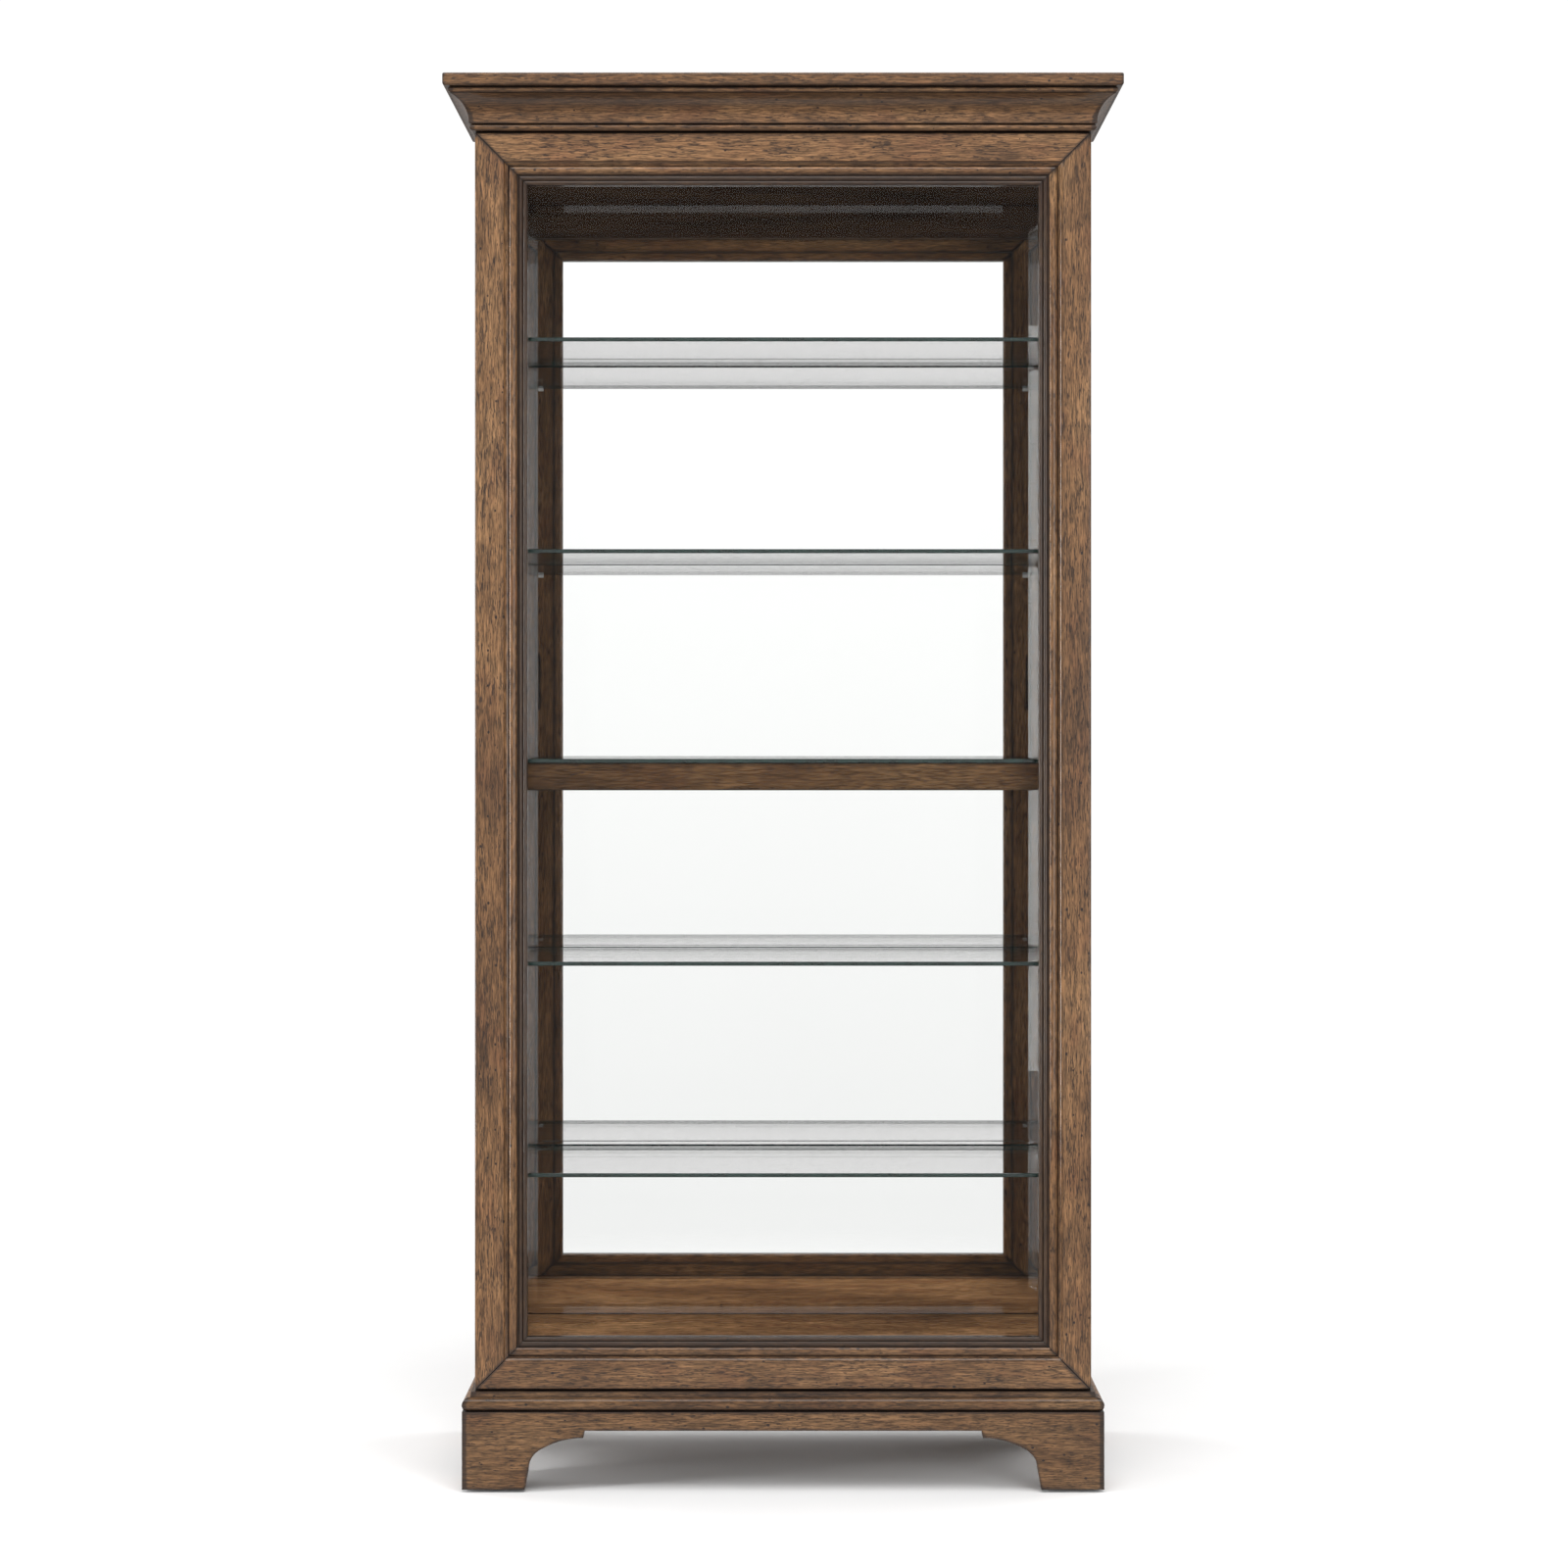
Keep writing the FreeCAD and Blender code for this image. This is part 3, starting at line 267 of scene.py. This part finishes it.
def plain_wood(name, grain, light, dark):
    """Unfinished wood or hardboard."""
    g = Grained("plain_" + name, grain)
    streak = g.drawn(160, 18, 4, 0.6)
    broad = g.drawn(9, 3, 3)
    value = g.math("ADD", g.math("MULTIPLY", streak, 0.55), g.math("MULTIPLY", broad, 0.45))
    bump = g.add("Bump", {"Height": streak, "Strength": 0.4, "Distance": 0.0004})
    shader = g.add("BsdfPrincipled", {
        "Base Color": g.ramp(value, [(0.35, dark), (0.65, light)]),
        "Roughness": g.ranged(streak, 0.3, 0.7, 0.62, 0.82),
        "Normal": bump.outputs[0],
    })
    return g.surface(shader.outputs[0])


# ---------------------------------------------------------------- glass, metal, plastic

# the share of a ray that coated glass mirrors head on, and what a pane and a plate add edge on
HEAD_ON = 0.006
PANE_EDGE_ON = 0.45
PLATE_EDGE_ON = 0.8
GLASS_IOR = 1.52


def clear_or_gloss(g, tint, edge_on):
    """A glass face that lets rays straight through and mirrors more of them the flatter they come."""
    facing = g.add("LayerWeight", {"Blend": 0.5}).outputs["Facing"]
    steep = g.math("POWER", facing, 5.0)
    share = g.math("MULTIPLY_ADD", steep, edge_on, HEAD_ON)
    clear = g.add("BsdfTransparent", {"Color": tint})
    gloss = g.add("BsdfGlossy", {"Roughness": smudges(g, 0.0, 0.02)})
    return g.mix_shaders(share, clear.outputs[0], gloss.outputs[0])


def smudges(g, clean, smeared):
    """Roughness of glass: clean, with faint wiped patches."""
    point = g.add("TexCoord").outputs["Object"]
    return g.ranged(g.noise(point, 5, 5, 0.6), 0.5, 0.75, clean, smeared)


def pane_glass(name, tint):
    """Thin flat glass that doesn't shift what is behind it."""
    g = Graph(name)
    return g.surface(clear_or_gloss(g, tint, PANE_EDGE_ON))


def shelf_glass(name, tint, edge_colour):
    """Plate glass: clear through its faces, dark green where its edge or a groove's wall shows."""
    g = Graph(name)
    faces = clear_or_gloss(g, tint, PLATE_EDGE_ON)
    point = g.add("TexCoord")
    streaks = g.noise(point.outputs["Object"], 40, 3)
    dark = rgb(*(0.5 * c for c in edge_colour[:3]))
    edge = g.add("BsdfPrincipled", {
        "Base Color": g.ramp(streaks, [(0.35, dark), (0.65, edge_colour)]),
        "Roughness": g.ranged(streaks, 0.3, 0.7, 0.08, 0.2),
    })
    normal = g.add("SeparateXYZ", {0: point.outputs["Normal"]})
    level = g.math("ABSOLUTE", normal.outputs[2])
    side = g.ranged(level, 0.99, 0.90)
    return g.surface(g.mix_shaders(side, faces, edge.outputs[0]))


def clear_glass(name, tint):
    """Solid glass that bends light, for the bevelled mirror."""
    g = Graph(name)
    glass = g.add("BsdfGlass", {"Color": tint, "IOR": GLASS_IOR, "Roughness": smudges(g, 0.0, 0.004)})
    return g.surface(glass.outputs[0])


def silver_face(name, bright, dull):
    """The silvered back of mirror glass."""
    g = Graph(name)
    point = g.add("TexCoord").outputs["Object"]
    colour = g.ramp(g.noise(point, 3, 2), [(0.3, dull), (0.7, bright)])
    gloss = g.add("BsdfGlossy", {"Color": colour, "Roughness": smudges(g, 0.0, 0.004)})
    return g.surface(gloss.outputs[0])


def zinc_steel(name, grain):
    """Zinc-plated steel with drawing lines along one axis."""
    g = Grained(name, grain)
    lines = g.drawn(900, 40, 2)
    cloud = g.noise(g.point, 60, 3)
    colour = g.ramp(cloud, [(0.35, rgb(0.50, 0.50, 0.48)), (0.65, rgb(0.66, 0.66, 0.63))])
    bump = g.add("Bump", {"Height": lines, "Strength": 0.05, "Distance": 0.0001})
    shader = g.add("BsdfPrincipled", {
        "Base Color": colour,
        "Metallic": 1.0,
        "Roughness": g.ranged(lines, 0.3, 0.7, 0.32, 0.42),
        "Normal": bump.outputs[0],
    })
    return g.surface(shader.outputs[0])


def moulded_nylon(name, light, dark):
    """Matt brown plastic."""
    g = Graph(name)
    point = g.add("TexCoord").outputs["Object"]
    fine = g.noise(point, 900, 3)
    cloud = g.noise(point, 120, 2)
    bump = g.add("Bump", {"Height": fine, "Strength": 0.3, "Distance": 0.0002})
    shader = g.add("BsdfPrincipled", {
        "Base Color": g.ramp(cloud, [(0.35, dark), (0.65, light)]),
        "Roughness": g.ranged(fine, 0.3, 0.7, 0.38, 0.55),
        "Normal": bump.outputs[0],
    })
    return g.surface(shader.outputs[0])


# ---------------------------------------------------------------- which node has which finish

WOOD_GRAIN = {
    "X": [
        "base_front", "base_back", "base_cap_front", "front_rail_top", "front_rail_bottom",
        "bottom_deck", "top_deck", "centre_shelf_rail", "crown_front", "top_panel",
        "door_rail_top", "door_rail_bottom", "door_front_beads", "door_glass_stops",
    ],
    "Y": [
        "base_left", "base_right", "base_cap_left", "base_cap_right", "crown_left",
        "crown_right", "side_rail_top_left", "side_rail_top_right",
        "side_rail_bottom_left", "side_rail_bottom_right", "side_glass_stops",
    ],
    "Z": [
        "post_front_left", "post_front_right", "post_rear_left", "post_rear_right",
        "door_stile_left", "door_stile_right",
    ],
}
MITRED_FRAMES = ("door_front_beads", "door_glass_stops", "side_glass_stops")
# (painted light level, specular level, coat) of a stained piece, and of those that differ from most; a
# painted light level under 1 is painted shade, over 1 painted light
MOST_WOOD = (1.0, 0.10, 0.5)
WOOD_PAINTED_LIGHT_AND_GLOSS = {
    "top_deck": (0.42, 0.0, 0.0),
    "bottom_deck": (1.42, 0.0, 0.0),
    "centre_shelf_rail": (0.55, 0.04, 0.1),
    "front_rail_top": (0.8, 0.05, 0.2),
    "front_rail_bottom": (1.0, 0.05, 0.2),
    "door_rail_top": (1.12, 0.10, 0.5),
    "door_rail_bottom": (0.80, 0.10, 0.5),
    "crown_front": (1.16, 0.10, 0.5),
    "top_panel": (0.86, 0.10, 0.5),
    "base_front": (0.68, 0.10, 0.4),
    "base_cap_front": (0.60, 0.10, 0.4),
    "base_left": (0.74, 0.10, 0.4),
    "base_right": (0.74, 0.10, 0.4),
}
PLAIN = {"base_corner_blocks": "Z", "centre_shelf_cleats": "Y", "back_panel": "Z"}


def finish_node(name, material):
    """Gives every material slot of a CAD node's object the one material."""
    for slot in NODES[name].material_slots:
        slot.material = material


def finish_wood():
    number = 0
    for grain, names in WOOD_GRAIN.items():
        for name in names:
            number += 1
            shift = (1.7 * number, 2.3 * number, 3.1 * number)
            painted_light_and_gloss = WOOD_PAINTED_LIGHT_AND_GLOSS.get(name, MOST_WOOD)
            finish_node(name, stained_wood(name, grain, shift, *painted_light_and_gloss))
    for name, grain in PLAIN.items():
        finish_node(name, plain_wood(name, grain, rgb(0.34, 0.235, 0.14), rgb(0.20, 0.13, 0.075)))


def finish_glass():
    pane = pane_glass("pane", rgb(0.986, 0.991, 0.987))
    for name in ("door_glass", "side_glass_left", "side_glass_right"):
        finish_node(name, pane)
    plate = shelf_glass("plate", rgb(0.885, 0.876, 0.881), rgb(0.012, 0.030, 0.026))
    for name in NODES:
        if name.startswith("glass_shelf") or name == "centre_shelf_glass":
            finish_node(name, plate)


def finish_hardware():
    steel = {axis: zinc_steel("steel_" + axis, axis) for axis in "XY"}
    nylon = moulded_nylon("nylon", rgb(0.20, 0.105, 0.052), rgb(0.13, 0.066, 0.034))
    for name in NODES:
        if name.startswith("slide_"):
            finish_node(name, steel["X"])
        elif name in ("case_screws", "door_screws", "shelf_pins", "leveler_sockets"):
            finish_node(name, steel["Y"])
        elif name.startswith("leveler_"):
            finish_node(name, nylon)


# ---------------------------------------------------------------- mirror

BEVEL_WIDE = 0.0254
BEVEL_DROP = 0.0022
# left between the plate and the back panel, whose faces would otherwise touch
BACK_GAP = 0.0002


def mirror():
    """The bevelled mirror as one plate, silvered on its back face."""
    low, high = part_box("mirror_glass")
    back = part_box("mirror_silvering")[1].y - BACK_GAP
    rings = [
        (low.y, BEVEL_WIDE),
        (low.y + BEVEL_DROP, 0.0),
        (back, 0.0),
    ]
    bm = bmesh.new()
    loops = []
    for y, inset in rings:
        left, right = low.x + inset, high.x - inset
        bottom, top = low.z + inset, high.z - inset
        corners = [(left, y, bottom), (right, y, bottom), (right, y, top), (left, y, top)]
        loops.append([bm.verts.new(c) for c in corners])
    bm.faces.new(loops[0])
    for near, far in zip(loops, loops[1:]):
        for i in range(4):
            after = (i + 1) % 4
            bm.faces.new((near[after], near[i], far[i], far[after]))
    rear = bm.faces.new(reversed(loops[-1]))
    rear.material_index = 1
    mesh = bpy.data.meshes.new("bevelled_mirror")
    bm.to_mesh(mesh)
    bm.free()
    mesh.materials.append(clear_glass("mirror_front", rgb(0.995, 0.998, 0.997)))
    mesh.materials.append(silver_face("mirror_back", rgb(0.965, 0.950, 0.957), rgb(0.958, 0.943, 0.950)))
    ob = bpy.data.objects.new("bevelled_mirror", mesh)
    bpy.context.scene.collection.objects.link(ob)
    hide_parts("mirror_glass", "mirror_silvering")
    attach(ob, "case")


# ---------------------------------------------------------------- studio

CAMERA_PLACE = (0.0, -4.464, 1.086)
LENS = 68.57
SHIFT = (0.0006, -0.0309)
# strength of the backdrop, of the room all round, and of the wall in front, low down and high up
WHITE = 1.06
AMBIENT = 0.38
WALL_LOW, WALL_HIGH = 0.985, 1.15
# the floor is solid this far out and has faded out at this far out
FLOOR_SOLID, FLOOR_FADED = 0.55, 1.8
FLOOR_RADIUS = 1.9


def camera():
    data = bpy.data.cameras.new("camera")
    data.lens = LENS
    data.shift_x, data.shift_y = SHIFT
    data.clip_end = 100
    ob = bpy.data.objects.new("camera", data)
    ob.location = CAMERA_PLACE
    ob.rotation_euler = (math.radians(90), 0, 0)
    bpy.context.scene.collection.objects.link(ob)
    bpy.context.scene.camera = ob


def world():
    """A studio: white behind the object and in front of it, where its mirror looks, and dim all round."""
    w = bpy.data.worlds.new("studio")
    w.use_nodes = True
    tree = w.node_tree

    def add(kind, *inputs, **settings):
        node = tree.nodes.new("ShaderNode" + kind)
        for key, value in settings.items():
            setattr(node, key, value)
        for number, value in enumerate(inputs):
            if isinstance(value, bpy.types.NodeSocket):
                tree.links.new(value, node.inputs[number])
            else:
                node.inputs[number].default_value = value
        return node

    split = add("SeparateXYZ", add("TexCoord").outputs["Generated"])
    height = add("MapRange", split.outputs[2], -0.14, 0.10, WALL_LOW, WALL_HIGH)
    front = add("MapRange", split.outputs[1], -0.86, -0.95, AMBIENT, height.outputs[0])
    seen = add("LightPath").outputs["Is Camera Ray"]
    strength = add("MapRange", seen, 0.0, 1.0, front.outputs[0], WHITE)
    tree.links.new(strength.outputs[0], tree.nodes["Background"].inputs["Strength"])
    tree.nodes["Background"].inputs["Color"].default_value = rgb(1, 1, 1)
    bpy.context.scene.world = w


def softbox(name, place, target, width, height, power, mirrored=True):
    data = bpy.data.lights.new(name, "AREA")
    data.shape = "RECTANGLE"
    data.size, data.size_y = width, height
    data.energy = power
    ob = bpy.data.objects.new(name, data)
    ob.location = place
    direction = Vector(target) - Vector(place)
    ob.rotation_euler = direction.to_track_quat("-Z", "Y").to_euler()
    ob.visible_camera = False
    ob.visible_glossy = mirrored
    bpy.context.scene.collection.objects.link(ob)


def floor():
    """A pale round of floor that fades out into the white."""
    mesh = bpy.data.meshes.new("floor")
    bm = bmesh.new()
    bmesh.ops.create_circle(bm, cap_ends=True, segments=96, radius=FLOOR_RADIUS)
    bm.to_mesh(mesh)
    bm.free()
    ob = bpy.data.objects.new("floor", mesh)
    bpy.context.scene.collection.objects.link(ob)
    g = Graph("floor")
    point = g.add("TexCoord").outputs["Object"]
    cloud = g.noise(point, 2, 3)
    pale = g.add("BsdfPrincipled", {
        "Base Color": g.ramp(cloud, [(0.3, rgb(0.93, 0.93, 0.93)), (0.7, rgb(0.96, 0.96, 0.96))]),
        "Roughness": 0.8,
    })
    away = g.add("VectorMath", {0: point}, operation="LENGTH").outputs["Value"]
    clear = g.add("BsdfTransparent")
    fade = g.ranged(away, FLOOR_SOLID, FLOOR_FADED)
    mesh.materials.append(g.surface(g.mix_shaders(fade, pale.outputs[0], clear.outputs[0])))


def lights():
    softbox("side", (-5.0, -1.8, 1.2), (0, 0, 1.1), 0.4, 3.0, 190)
    softbox("front", (2.4, -4.2, 1.2), (0, 0, 1.0), 1.8, 2.4, 75)
    softbox("top", (0.2, -1.6, 4.6), (0, 0, 0.6), 3.0, 2.4, 130)
    for name, x in (("inside_left", -3.2), ("inside_right", 3.2)):
        softbox(name, (x, 1.1, 1.1), (0, 0, 1.1), 1.6, 2.6, 80, mirrored=False)


def settings():
    scene = bpy.context.scene
    scene.view_settings.view_transform = "Standard"
    scene.cycles.max_bounces = 24
    scene.cycles.transmission_bounces = 24
    scene.cycles.glossy_bounces = 12
    scene.cycles.transparent_max_bounces = 40


camera()
world()
floor()
lights()
settings()
finish_wood()
finish_glass()
finish_hardware()
mirror()
